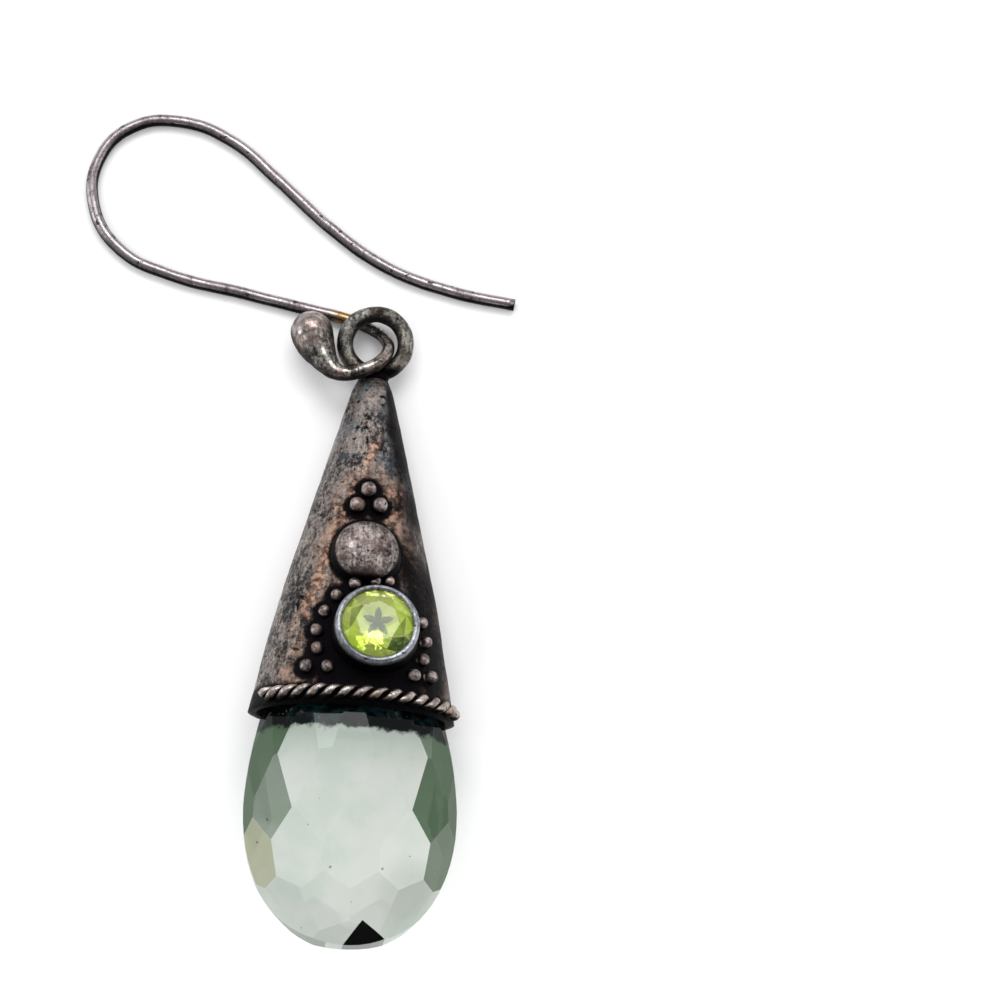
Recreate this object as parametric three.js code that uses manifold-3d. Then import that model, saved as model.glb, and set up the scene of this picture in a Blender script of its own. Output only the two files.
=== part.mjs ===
// Drop earring: an ear hook of round silver wire, a silver cone cap with an eye ring, and a
// large faceted drop stone set in the cap. It lies on its back, as it rests on a table.
// Millimetres, +Z up. +Y runs from the stone towards the hook. The table is at z = 0.
import * as THREE from 'three';
import { ConvexGeometry } from 'three/addons/geometries/ConvexGeometry.js';
import { mergeVertices } from 'three/addons/utils/BufferGeometryUtils.js';
import Module from 'manifold-3d';

const wasm = await Module();
wasm.setup();

// ---- driving dimensions ----------------------------------------------------------------

const GAP = 0.12; // between two pieces that are set in each other

const DROP_TILT = 6.3; // degrees, the eye ring lies lower than the rim of the cap
const DROP_ROLL = 5; // degrees, the front leans to the right

const WIRE_RADIUS = 0.4;
const WIRE_SIDES = 10;
const BALL_RADIUS = 1.42;

const CAP_WALL = 0.55;
const CAP_LENS = 0.6; // 0.5 is an ellipse, more makes the sides sharper
const CAP_SIDES = 56;
// cross sections of the cone, from the rim to the top
const CAP_SECTIONS = [
  { along: 0, halfWidth: 6.65, halfDepth: 4.2 },
  { along: 7.4, halfWidth: 5.2, halfDepth: 3.28 },
  { along: 12.6, halfWidth: 3.88, halfDepth: 2.63 },
  { along: 19.7, halfWidth: 2.05, halfDepth: 1.75 },
  { along: 22.4, halfWidth: 1.35, halfDepth: 1.15 },
  { along: 23.3, halfWidth: 0.95, halfDepth: 0.55 },
];
const CAVITY_END = 18.5;
const CAVITY_STOPS = [0, 10, CAVITY_END];
const CAVITY_START = -1; // below the rim, so that the cone is open there

const RING_RADIUS = 2.03;
const RING_WIRE_RADIUS = 0.55;
const RING_ALONG = 25.8;
const RING_DEPTH = 0.05;
const RING_SIDES = 12;
const RING_STEPS = 32;

const ROPE_RADIUS = 0.5;
const ROPE_ALONG = 0.75;
const ROPE_STAND = 0.15; // how far its middle stands out from the front of the cap
const ROPE_FROM = 158; // degrees round the rim, 180 is the left side
const ROPE_TO = 2;
const ROPE_SIDES = 8;
const ROPE_STEPS = 40;

const DOME_RADIUS = 2.05;
const DOME_HEIGHT = 1.15;
const DOME_SIDE = 0.45;
const DOME_FOOT = -0.9; // inside the cap's wall and cavity
const DOME_POWER = 0.55; // 1 is a round dome, less is flatter on top
const DOME_ARC_STEPS = 5;
const DOME_STEPS = 28;
const DOME_ALONG = 10.25;
const DOME_ACROSS = 0.2;

const BEZEL_RADIUS = 2.7;
const BEZEL_FLARE = 0.05;
const BEZEL_WINDOW_RADIUS = 2.28;
const BEZEL_HEIGHT = 1.7;
const BEZEL_FOOT = -1.6; // inside the cap's wall and cavity
const BEZEL_STEPS = 40;
const LIP_SLOPE = 0.12;
const BORE_RADIUS = 0.9; // the hole through the cap behind the peridot
const BORE_FOOT = -1.3;
const BEZEL_ALONG = 4.85;
const BEZEL_ACROSS = 1.05;
const BEZEL_LEAN = 0.35; // share of the slope across the cap that the bezel follows

const PERIDOT_RADIUS = 2.4;
const PERIDOT_TABLE_RADIUS = 1.4;
const PERIDOT_STAR_RADIUS = 1.9;
const PERIDOT_STAR = 0.42; // above the girdle
const PERIDOT_CROWN = 0.62;
const PERIDOT_GIRDLE = 0.16;
const PERIDOT_PAVILION = 1.95;
const PERIDOT_LOWER_RADIUS = 0.6;
const PERIDOT_LOWER = 1.58; // below the girdle
const PERIDOT_SINK = 0.42; // from the lip of the bezel down to the middle of the girdle

const GRANULE_RISE = 0.35; // its middle above the cap, in shares of its radius
// grains of silver on the front of the cap
const GRANULES = [
  { along: 14.68, across: 0.08, radius: 0.53 },
  { along: 13.55, across: -0.55, radius: 0.53 },
  { along: 13.65, across: 0.85, radius: 0.53 },
  { along: 8.05, across: -0.4, radius: 0.42 },
  { along: 8.35, across: 0.85, radius: 0.4 },
  { along: 8.45, across: 1.75, radius: 0.36 },
  { along: 7.2, across: -1.5, radius: 0.42 },
  { along: 6.1, across: -2.2, radius: 0.4 },
  { along: 4.8, across: -2.6, radius: 0.42 },
  { along: 3.55, across: -2.5, radius: 0.42 },
  { along: 2.35, across: -3.1, radius: 0.45 },
  { along: 2.3, across: -1.8, radius: 0.42 },
  { along: 6.0, across: 4.0, radius: 0.4 },
  { along: 4.75, across: 4.35, radius: 0.4 },
  { along: 3.5, across: 4.2, radius: 0.42 },
  { along: 2.3, across: 3.65, radius: 0.45 },
  { along: 2.45, across: 4.75, radius: 0.45 },
];

const STONE_HALF_WIDTH = 6.8;
const STONE_HALF_DEPTH = 3.5;
const STONE_LENS = 1.4; // 2 is an ellipse, less makes the girdle sharper
const STONE_BELLY = -6; // along the drop, where it is widest
// the two ends of the pear: a power of 2 is round, more is fuller, less is more pointed
const STONE_BOTTOM = { length: 8.75, widthPower: 2.2, depthPower: 2.2 };
const STONE_TOP = { length: 16.5, widthPower: 1.55, depthPower: 1.8 };
const STONE_TURN = 2.4; // degrees, set a little crooked in the cap
const STONE_SHIFT = 0.08; // across the cap
const STONE_OUTLINE_STEPS = 72;
const BLOCK_SIZE = 40; // larger than the stone
// rows of facets, each at its place along the drop, and where round the stone they sit
const STRAIGHT = [-64, -32, 0, 32, 64];
const STAGGERED = [-77, -48, -16, 16, 48, 77];
const FACET_ROWS = [
  { along: -14.2, columns: [0] },
  { along: -12.5, columns: STAGGERED },
  { along: -9, columns: STRAIGHT },
  { along: -5.8, columns: STAGGERED },
  { along: -2.6, columns: STRAIGHT },
  { along: 0.6, columns: STAGGERED },
  { along: 3.8, columns: STRAIGHT },
  { along: 6.6, columns: STAGGERED },
  { along: 8.6, columns: [0] },
];

// ---- materials -------------------------------------------------------------------------

const darkSilver = new THREE.MeshStandardMaterial({
  color: 0x6a6361, roughness: 0.42, metalness: 1,
});
const wireSilver = new THREE.MeshStandardMaterial({
  color: 0x6f6a6b, roughness: 0.35, metalness: 1,
});
const greenQuartz = new THREE.MeshStandardMaterial({
  color: 0xc8d3c8, roughness: 0.03, metalness: 0,
});
const limePeridot = new THREE.MeshStandardMaterial({
  color: 0xb4cf3a, roughness: 0.03, metalness: 0,
});

// ---- joining and cutting ---------------------------------------------------------------

function toSolid(geometry) {
  const bare = geometry.clone();
  bare.deleteAttribute('normal');
  bare.deleteAttribute('uv');
  const welded = mergeVertices(bare, 1e-4);
  const corners = welded.index.array;
  const kept = [];
  for (let i = 0; i < corners.length; i += 3) {
    const [a, b, c] = [corners[i], corners[i + 1], corners[i + 2]];
    if (a !== b && b !== c && c !== a) kept.push(a, b, c);
  }
  const vertProperties = new Float32Array(welded.attributes.position.array);
  const mesh = new wasm.Mesh({ numProp: 3, vertProperties, triVerts: new Uint32Array(kept) });
  return new wasm.Manifold(mesh);
}

function toMesh(solid, name, material) {
  const { vertProperties, triVerts } = solid.getMesh();
  const geometry = new THREE.BufferGeometry();
  geometry.setAttribute('position', new THREE.BufferAttribute(vertProperties, 3));
  geometry.setIndex(new THREE.BufferAttribute(triVerts, 1));
  geometry.computeVertexNormals();
  const mesh = new THREE.Mesh(geometry, material);
  mesh.name = name;
  return mesh;
}

const radians = THREE.MathUtils.degToRad;

// ---- the cone cap ----------------------------------------------------------------------

function capSection(along) {
  let upper = 1;
  while (upper < CAP_SECTIONS.length - 1 && CAP_SECTIONS[upper].along < along) upper += 1;
  const [from, to] = [CAP_SECTIONS[upper - 1], CAP_SECTIONS[upper]];
  const share = (along - from.along) / (to.along - from.along);
  return {
    along,
    halfWidth: THREE.MathUtils.lerp(from.halfWidth, to.halfWidth, share),
    halfDepth: THREE.MathUtils.lerp(from.halfDepth, to.halfDepth, share),
  };
}

// how deep the oval section is at a place across it, from 1 in the middle to 0 at the side
function ovalDepth(acrossShare) {
  return Math.max(0, 1 - acrossShare ** 2) ** CAP_LENS;
}

// a point on the front of the cap
function onCap(along, across) {
  const { halfWidth, halfDepth } = capSection(along);
  return new THREE.Vector3(across, along, halfDepth * ovalDepth(across / halfWidth));
}

// turns a shape made round +Y so that it stands on the front of the cap
function standOnCap(geometry, along, across, lean = 1) {
  const step = 0.2;
  const foot = onCap(along, across);
  const up = onCap(along + step, across).sub(foot);
  const right = onCap(along, across + step).sub(foot);
  right.z *= lean;
  const outward = right.cross(up).normalize();
  const turn = new THREE.Quaternion().setFromUnitVectors(new THREE.Vector3(0, 1, 0), outward);
  return geometry.applyQuaternion(turn).translate(foot.x, foot.y, foot.z);
}

// a body through oval sections: a turned body, squeezed front to back
function ovalBody(sections) {
  const last = sections[sections.length - 1];
  const outline = [
    new THREE.Vector2(0, sections[0].along),
    ...sections.map(({ along, halfWidth }) => new THREE.Vector2(halfWidth, along)),
    new THREE.Vector2(0, last.along),
  ];
  const geometry = new THREE.LatheGeometry(outline, CAP_SIDES);
  const position = geometry.attributes.position;
  for (let i = 0; i < position.count; i += 1) {
    const [x, y, z] = [position.getX(i), position.getY(i), position.getZ(i)];
    const radius = Math.hypot(x, z);
    if (radius > 1e-6) {
      const section = sections.find(({ along }) => Math.abs(along - y) < 1e-4);
      position.setZ(i, Math.sign(z) * section.halfDepth * ovalDepth(x / radius));
    }
  }
  return toSolid(geometry);
}

function cavity() {
  const below = { ...capSection(0), along: CAVITY_START };
  const inside = [below, ...CAVITY_STOPS.map(capSection)];
  return ovalBody(inside.map(({ along, halfWidth, halfDepth }) => ({
    along, halfWidth: halfWidth - CAP_WALL, halfDepth: halfDepth - CAP_WALL,
  })));
}

function eyeRing() {
  const ring = new THREE.TorusGeometry(RING_RADIUS, RING_WIRE_RADIUS, RING_SIDES, RING_STEPS);
  ring.rotateX(radians(DROP_TILT)).rotateY(radians(-DROP_ROLL));
  return toSolid(ring.translate(0, RING_ALONG, RING_DEPTH));
}

// the twisted wire along the front of the rim, here as one plain wire
class RopeLine extends THREE.Curve {
  getPoint(share, target = new THREE.Vector3()) {
    const { halfWidth, halfDepth } = capSection(ROPE_ALONG);
    const angle = radians(THREE.MathUtils.lerp(ROPE_FROM, ROPE_TO, share));
    const depth = (halfDepth + ROPE_STAND) * ovalDepth(Math.cos(angle));
    return target.set(halfWidth * Math.cos(angle), ROPE_ALONG, depth);
  }
}

function tube(curve, radius, sides, steps) {
  const round = new THREE.Shape();
  for (let i = 0; i < sides; i += 1) {
    const angle = (2 * Math.PI * (i + 0.5)) / sides;
    const [x, y] = [radius * Math.cos(angle), radius * Math.sin(angle)];
    if (i === 0) round.moveTo(x, y);
    else round.lineTo(x, y);
  }
  round.closePath();
  return new THREE.ExtrudeGeometry(round, { steps, extrudePath: curve, curveSegments: 1 });
}

// a flattened ball of silver, standing on a short straight side
function dome() {
  const outline = [new THREE.Vector2(0, DOME_FOOT), new THREE.Vector2(DOME_RADIUS, DOME_FOOT)];
  for (let i = 0; i < DOME_ARC_STEPS; i += 1) {
    const angle = (i / DOME_ARC_STEPS) * (Math.PI / 2);
    const height = DOME_SIDE + (DOME_HEIGHT - DOME_SIDE) * Math.sin(angle);
    outline.push(new THREE.Vector2(DOME_RADIUS * Math.cos(angle) ** DOME_POWER, height));
  }
  outline.push(new THREE.Vector2(0, DOME_HEIGHT));
  const turned = new THREE.LatheGeometry(outline, DOME_STEPS);
  return toSolid(standOnCap(turned, DOME_ALONG, DOME_ACROSS));
}

function granule({ along, across, radius }) {
  const grain = new THREE.SphereGeometry(radius, 10, 7).translate(0, radius * GRANULE_RISE, 0);
  return toSolid(standOnCap(grain, along, across));
}

function bezelWall() {
  const length = BEZEL_HEIGHT - BEZEL_FOOT;
  const foot = BEZEL_RADIUS + BEZEL_FLARE;
  const wall = new THREE.CylinderGeometry(BEZEL_RADIUS, foot, length, BEZEL_STEPS);
  wall.translate(0, (BEZEL_HEIGHT + BEZEL_FOOT) / 2, 0);
  return toSolid(standOnCap(wall, BEZEL_ALONG, BEZEL_ACROSS, BEZEL_LEAN));
}

// the hollow that the peridot sits in, open at the front, and through the cap at the back
function bezelSeat() {
  const girdle = BEZEL_HEIGHT - PERIDOT_SINK;
  const wide = PERIDOT_RADIUS + GAP;
  const lip = girdle + PERIDOT_GIRDLE / 2 + GAP;
  const slope = PERIDOT_RADIUS / PERIDOT_PAVILION;
  const below = girdle - PERIDOT_GIRDLE / 2 - GAP;
  const boreTop = below - (wide - BORE_RADIUS) / slope;
  const above = BEZEL_HEIGHT + 1;
  const outline = [
    [0, BORE_FOOT], [BORE_RADIUS, BORE_FOOT], [BORE_RADIUS, boreTop], [wide, below], [wide, lip],
    [BEZEL_WINDOW_RADIUS, lip + LIP_SLOPE], [BEZEL_WINDOW_RADIUS, above], [0, above],
  ].map(([radius, height]) => new THREE.Vector2(radius, height));
  const seat = new THREE.LatheGeometry(outline, BEZEL_STEPS);
  return toSolid(standOnCap(seat, BEZEL_ALONG, BEZEL_ACROSS, BEZEL_LEAN));
}

function makeCap() {
  let solid = ovalBody(CAP_SECTIONS);
  const soldered = [eyeRing(), dome(), bezelWall(), ...GRANULES.map(granule)];
  soldered.push(toSolid(tube(new RopeLine(), ROPE_RADIUS, ROPE_SIDES, ROPE_STEPS)));
  for (const piece of soldered) solid = solid.add(piece);
  solid = solid.subtract(cavity()).subtract(bezelSeat());
  return toMesh(solid, 'cap', darkSilver);
}

// ---- the peridot, a round brilliant ----------------------------------------------------

function ringOf(count, radius, height, turn) {
  return Array.from({ length: count }, (_, i) => {
    const angle = (2 * Math.PI * (i + turn)) / count;
    return new THREE.Vector3(radius * Math.cos(angle), height, radius * Math.sin(angle));
  });
}

function makePeridot() {
  const half = PERIDOT_GIRDLE / 2;
  const corners = [
    ...ringOf(8, PERIDOT_TABLE_RADIUS, half + PERIDOT_CROWN, 0),
    ...ringOf(8, PERIDOT_STAR_RADIUS, half + PERIDOT_STAR, 0.5),
    ...ringOf(16, PERIDOT_RADIUS, half, 0),
    ...ringOf(16, PERIDOT_RADIUS, -half, 0),
    ...ringOf(8, PERIDOT_LOWER_RADIUS, -half - PERIDOT_LOWER, 0.5),
    new THREE.Vector3(0, -half - PERIDOT_PAVILION, 0),
  ];
  const gem = new ConvexGeometry(corners).translate(0, BEZEL_HEIGHT - PERIDOT_SINK, 0);
  const placed = standOnCap(gem, BEZEL_ALONG, BEZEL_ACROSS, BEZEL_LEAN);
  return toMesh(toSolid(placed), 'peridot', limePeridot);
}

// ---- the drop stone --------------------------------------------------------------------

// a point on the smooth pear that the facets are ground on
function onStone(along, column, side) {
  const end = along < STONE_BELLY ? STONE_BOTTOM : STONE_TOP;
  const share = Math.min(1, Math.abs(along - STONE_BELLY) / end.length);
  const halfWidth = STONE_HALF_WIDTH * (1 - share ** end.widthPower) ** (1 / end.widthPower);
  const halfDepth = STONE_HALF_DEPTH * (1 - share ** end.depthPower) ** (1 / end.depthPower);
  const across = Math.sin(radians(column));
  const depth = halfDepth * (1 - across ** 2) ** (1 / STONE_LENS);
  return new THREE.Vector3(halfWidth * across, along, side * depth);
}

// a block that takes off all that stands above one facet
function grindingBlock(along, column, side) {
  const step = 0.05;
  const foot = onStone(along, column, side);
  const up = onStone(along + step, column, side).sub(onStone(along - step, column, side));
  const right = onStone(along, column + step, side).sub(onStone(along, column - step, side));
  const outward = right.cross(up).multiplyScalar(side).normalize();
  const turn = new THREE.Quaternion().setFromUnitVectors(new THREE.Vector3(0, 0, 1), outward);
  const block = new THREE.BoxGeometry(BLOCK_SIZE, BLOCK_SIZE, BLOCK_SIZE);
  block.translate(0, 0, BLOCK_SIZE / 2);
  return toSolid(block.applyQuaternion(turn).translate(foot.x, foot.y, foot.z));
}

function makeDropStone() {
  const outline = new THREE.Shape();
  for (let i = 0; i < STONE_OUTLINE_STEPS; i += 1) {
    const turn = (2 * Math.PI * i) / STONE_OUTLINE_STEPS;
    const end = Math.cos(turn) < 0 ? STONE_BOTTOM : STONE_TOP;
    const power = 2 / end.widthPower;
    const across = STONE_HALF_WIDTH * Math.sign(Math.sin(turn)) * Math.abs(Math.sin(turn)) ** power;
    const along = end.length * Math.sign(Math.cos(turn)) * Math.abs(Math.cos(turn)) ** power;
    if (i === 0) outline.moveTo(across, along + STONE_BELLY);
    else outline.lineTo(across, along + STONE_BELLY);
  }
  outline.closePath();
  const depth = 2 * STONE_HALF_WIDTH;
  const prism = new THREE.ExtrudeGeometry(outline, { depth, bevelEnabled: false });
  let solid = toSolid(prism.translate(0, 0, -depth / 2));
  for (const side of [1, -1]) {
    for (const { along, columns } of FACET_ROWS) {
      for (const column of columns) {
        solid = solid.subtract(grindingBlock(along, column, side));
      }
    }
  }
  const stone = toMesh(solid, 'drop_stone', greenQuartz);
  stone.rotation.z = radians(STONE_TURN);
  stone.position.x = STONE_SHIFT;
  return stone;
}

// ---- the ear hook ----------------------------------------------------------------------

// the middle of the wire, from the tip round the bend, along the arm, through the ring
const HOOK_ROUTE = [
  { x: 9.13, y: 29.05, z: 0 },
  { x: 4.9, y: 29.75, z: 0 },
  { x: 0.3, y: 31.3, z: 0 },
  { x: -3.65, y: 33.9, z: 0 },
  { x: -7.2, y: 36.95, z: 0 },
  { x: -10.7, y: 39.7, z: 0 },
  { x: -14.1, y: 40.85, z: 0 },
  { x: -17.4, y: 40.35, z: 0 },
  { x: -19.5, y: 38.0, z: 0 },
  { x: -19.6, y: 34.5, z: 0 },
  { x: -17.6, y: 31.6, z: 0 },
  { x: -14.2, y: 30.05, z: 0 },
  { x: -9.1, y: 28.98, z: 0 },
  { x: -5.4, y: 28.2, z: 0 },
  { x: -2.4, y: 27.6, z: 0 },
  { x: -1.2, y: 27.25, z: 0 },
  { x: -0.15, y: 26.75, z: 0.15 },
  { x: 0.6, y: 26.05, z: 0.75 },
  { x: 0.9, y: 25.15, z: 1.4 },
  { x: 0.45, y: 24.2, z: 2.0 },
  { x: -0.5, y: 23.55, z: 2.25 },
  { x: -1.7, y: 23.2, z: 2.25 },
  { x: -2.85, y: 23.5, z: 2.05 },
  { x: -3.6, y: 24.5, z: 1.65 },
  { x: -4.2, y: 25.8, z: 1.42 },
];

function makeHook() {
  const points = HOOK_ROUTE.map(({ x, y, z }) => new THREE.Vector3(x, y, z));
  const wire = tube(new THREE.CatmullRomCurve3(points), WIRE_RADIUS, WIRE_SIDES, 130);
  const ball = new THREE.SphereGeometry(BALL_RADIUS, 18, 12);
  const end = points[points.length - 1];
  const solid = toSolid(wire).add(toSolid(ball.translate(end.x - 0.05, end.y + 0.3, end.z)));
  return toMesh(solid, 'ear_hook', wireSilver);
}

// ---- the earring -----------------------------------------------------------------------

function lowest(object) {
  return new THREE.Box3().setFromObject(object, true).min.z;
}

const drop = new THREE.Group();
drop.add(makeCap(), makePeridot(), makeDropStone());
drop.rotation.set(radians(-DROP_TILT), radians(DROP_ROLL), 0);
drop.position.z = -lowest(drop);

const hook = makeHook();
hook.position.z = -lowest(hook);

const earring = new THREE.Group();
earring.add(hook, drop);
const middle = new THREE.Box3().setFromObject(earring, true).getCenter(new THREE.Vector3());
earring.position.set(-middle.x, -middle.y, 0);

export default earring;
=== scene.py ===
# Drop earring lying on a table: a silver cone cap with an eye ring, granules, a domed
# button, a peridot in a bezel and a twisted wire round the rim, a faceted drop of green
# quartz, and an ear hook of round silver wire. Metres, +Z up, table at z = 0.
import math

import bmesh
import bpy
from mathutils import Matrix, Vector, noise


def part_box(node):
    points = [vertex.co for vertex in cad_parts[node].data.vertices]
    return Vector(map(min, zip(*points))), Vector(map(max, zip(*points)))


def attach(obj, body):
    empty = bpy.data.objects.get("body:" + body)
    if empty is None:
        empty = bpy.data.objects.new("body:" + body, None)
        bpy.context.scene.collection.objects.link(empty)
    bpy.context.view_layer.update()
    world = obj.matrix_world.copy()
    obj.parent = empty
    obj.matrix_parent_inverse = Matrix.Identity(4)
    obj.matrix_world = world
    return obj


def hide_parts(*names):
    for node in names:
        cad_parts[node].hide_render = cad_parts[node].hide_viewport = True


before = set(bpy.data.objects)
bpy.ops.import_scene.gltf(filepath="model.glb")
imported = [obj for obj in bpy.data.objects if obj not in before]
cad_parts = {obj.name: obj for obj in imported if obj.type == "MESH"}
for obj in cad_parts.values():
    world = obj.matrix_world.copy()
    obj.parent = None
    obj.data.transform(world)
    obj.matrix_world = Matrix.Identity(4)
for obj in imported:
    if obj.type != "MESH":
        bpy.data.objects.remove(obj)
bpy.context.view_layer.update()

MM = 0.001
rim_middle = Vector(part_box("cap")[0]) + Vector((6.629, 0.459, 4.192)) * MM


# ---- camera ------------------------------------------------------------------------------
# It looks down on the table from beyond the drop stone. The earring keeps to the left of
# the view, and the table to the right of it is bare.

camera = bpy.data.objects.new("camera", bpy.data.cameras.new("camera"))
bpy.context.scene.collection.objects.link(camera)
bpy.context.scene.camera = camera
camera.data.lens = 113.68
camera.data.sensor_width = 36
camera.data.clip_start = 0.005
camera.data.clip_end = 20

aim = Vector((rim_middle.x, rim_middle.y, 0)) + Vector((8.81, 15.71, 0)) * MM
camera.location = aim + Vector((2.13, -43.61, 205.41)) * MM
camera.rotation_euler = (aim - camera.location).to_track_quat("-Z", "Y").to_euler()


# ---- table and light ---------------------------------------------------------------------
# A matt white table top under a white tent, which it runs into. A wide soft box hangs beyond
# the hook, two smaller ones stand at the sides, and the room behind the camera is dim.

table_mesh = bmesh.new()
bmesh.ops.create_grid(table_mesh, x_segments=1, y_segments=1, size=3)
table_data = bpy.data.meshes.new("table_top")
table_mesh.to_mesh(table_data)
table_mesh.free()
table_top = bpy.data.objects.new("table_top", table_data)
bpy.context.scene.collection.objects.link(table_top)


def add_node(tree, kind, values=None, **settings):
    node = tree.nodes.new(kind)
    for name, value in settings.items():
        setattr(node, name, value)
    for socket, value in (values or {}).items():
        if isinstance(value, bpy.types.NodeSocket):
            tree.links.new(value, node.inputs[socket])
        else:
            node.inputs[socket].default_value = value
    return node


def new_material(name):
    material = bpy.data.materials.new(name)
    material.use_nodes = True
    material.node_tree.nodes.clear()
    return material, material.node_tree


table_paint, tree = new_material("white_table")
table_grain = add_node(tree, "ShaderNodeTexNoise", {"Scale": 260.0, "Detail": 3.0})
table_tone = add_node(tree, "ShaderNodeMix", {
    "Factor": table_grain.outputs["Fac"],
    6: (0.93, 0.93, 0.93, 1),
    7: (0.95, 0.95, 0.95, 1),
}, data_type="RGBA")
table_skin = add_node(tree, "ShaderNodeBsdfPrincipled", {
    "Base Color": table_tone.outputs[2], "Roughness": 0.6, "Specular IOR Level": 0.2,
})
far_off = add_node(tree, "ShaderNodeVectorMath", {
    0: add_node(tree, "ShaderNodeTexCoord").outputs["Object"],
}, operation="LENGTH").outputs["Value"]
far_off = add_node(tree, "ShaderNodeMapRange", {
    "Value": far_off, "From Min": 0.14, "From Max": 0.40, "To Min": 0.0, "To Max": 1.0,
}).outputs["Result"]
table_end = add_node(tree, "ShaderNodeEmission", {"Color": (1, 1, 1, 1)})
table_look = add_node(tree, "ShaderNodeMixShader", {
    0: far_off, 1: table_skin.outputs["BSDF"], 2: table_end.outputs["Emission"],
})
add_node(tree, "ShaderNodeOutputMaterial", {"Surface": table_look.outputs["Shader"]})
table_data.materials.append(table_paint)

room = bpy.data.worlds.new("white_tent")
bpy.context.scene.world = room
room.use_nodes = True
room.node_tree.nodes.clear()
tree = room.node_tree
heading = add_node(tree, "ShaderNodeTexCoord")
axes = add_node(tree, "ShaderNodeSeparateXYZ", {"Vector": heading.outputs["Generated"]})
behind = add_node(tree, "ShaderNodeMapRange", {
    "Value": axes.outputs["Y"], "From Min": -0.75, "From Max": 0.35,
    "To Min": 0.0, "To Max": 1.0,
}, interpolation_type="SMOOTHSTEP")
tent = add_node(tree, "ShaderNodeMix", {
    "Factor": behind.outputs["Result"], 6: (0.10, 0.10, 0.11, 1), 7: (0.50, 0.51, 0.53, 1),
}, data_type="RGBA")
seen = add_node(tree, "ShaderNodeLightPath")
on_table = add_node(tree, "ShaderNodeMix", {
    "Factor": seen.outputs["Is Diffuse Ray"], 6: tent.outputs[2], 7: (0.84, 0.84, 0.85, 1),
}, data_type="RGBA")
backdrop = add_node(tree, "ShaderNodeMix", {
    "Factor": seen.outputs["Is Camera Ray"], 6: on_table.outputs[2], 7: (1, 1, 1, 1),
}, data_type="RGBA")
glow = add_node(tree, "ShaderNodeBackground", {"Color": backdrop.outputs[2]})
add_node(tree, "ShaderNodeOutputWorld", {"Surface": glow.outputs["Background"]})


def soft_box(name, place, width, height, watts, tint=(1, 1, 1)):
    lamp = bpy.data.lights.new(name, "AREA")
    lamp.shape = "RECTANGLE"
    lamp.size, lamp.size_y = width, height
    lamp.energy = watts
    lamp.color = tint
    box = bpy.data.objects.new(name, lamp)
    box.location = place
    middle = Vector((0, 0, 0.004))
    box.rotation_euler = (middle - Vector(place)).to_track_quat("-Z", "Y").to_euler()
    bpy.context.scene.collection.objects.link(box)
    return box


soft_box("top_box", (0.0, 0.29, 0.38), 0.40, 0.20, 1.05)
soft_box("left_box", (-0.42, 0.02, 0.22), 0.16, 0.30, 0.42, (0.97, 0.98, 1))
soft_box("right_box", (0.42, 0.06, 0.26), 0.12, 0.28, 0.30, (1, 0.98, 0.96))
soft_box("near_box", (-0.10, -0.38, 0.30), 0.10, 0.10, 0.14)

bpy.context.scene.view_settings.view_transform = "Standard"


# ---- cone cap ----------------------------------------------------------------------------
# Sheet silver formed into a hollow cone with an oval section, open at the stone's end. It
# was blackened and then rubbed, so the hollows stay dark and the high places are worn.
# Painted shade blackens the inside, the rim and the underside of the twisted wire, and
# darkens the strip below the bezel and the right side.

cap_wall = 0.55
dent_height, ripple_height = 0.045, 0.025
drill_radius, drill_depth = 2.3, 3.2
cap_lens = 0.6  # 0.5 is an ellipse, more makes the sides sharper
cavity_end = 18.5
# along the drop from the rim, half the width, half the depth
cap_sections = [
    (0, 6.65, 4.2), (7.4, 5.2, 3.28), (12.6, 3.88, 2.63), (19.7, 2.05, 1.75),
    (22.4, 1.35, 1.15), (23.3, 0.95, 0.55),
]
drop_tilt, drop_roll = -6.3, 5.0
drop_turn = Matrix.Rotation(math.radians(drop_tilt), 4, "X")
drop_turn = drop_turn @ Matrix.Rotation(math.radians(drop_roll), 4, "Y")
drop_place = Matrix.Translation(rim_middle) @ drop_turn @ Matrix.Scale(MM, 4)

granules = [
    # along, across, radius
    (14.68, 0.08, 0.53), (13.55, -0.55, 0.53), (13.65, 0.85, 0.53),
    (8.05, -0.4, 0.42), (8.35, 0.85, 0.4), (8.45, 1.75, 0.36),
    (7.2, -1.5, 0.42), (6.1, -2.2, 0.4), (4.8, -2.6, 0.42), (3.55, -2.5, 0.42),
    (2.35, -3.1, 0.45), (2.3, -1.8, 0.42),
    (6.0, 4.0, 0.4), (4.75, 4.35, 0.4), (3.5, 4.2, 0.42), (2.3, 3.65, 0.45), (2.45, 4.75, 0.45),
]
dome_along, dome_across, dome_radius = 10.25, 0.2, 2.05
bezel_along, bezel_across, bezel_radius, bezel_lean = 4.85, 1.05, 2.7, 0.35


def cap_section(along):
    """Half the width and half the depth of the cone, at a place along it."""
    for (a, wide_a, deep_a), (b, wide_b, deep_b) in zip(cap_sections, cap_sections[1:]):
        if along <= b:
            break
    share = (along - a) / (b - a)
    return wide_a + share * (wide_b - wide_a), deep_a + share * (deep_b - deep_a)


def on_cap(along, across):
    """A point on the front of the cone."""
    half_width, half_depth = cap_section(along)
    share = min(1, abs(across / half_width))
    return Vector((across, along, half_depth * (1 - share * share) ** cap_lens))


def stand_on_cap(along, across, lean=1):
    """Stands a shape made round +Z on the front of the cone."""
    step = 0.2
    foot = on_cap(along, across)
    up = on_cap(along + step, across) - foot
    right = on_cap(along, across + step) - foot
    right.z *= lean
    outward = right.cross(up).normalized()
    turn = Vector((0, 0, 1)).rotation_difference(outward).to_matrix().to_4x4()
    return Matrix.Translation(foot) @ turn


def fade(value, near, far):
    """One up to the near value, and falling smoothly to nought at the far one."""
    share = min(1, max(0, (value - near) / (far - near)))
    return 1 - share * share * (3 - 2 * share)


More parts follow.
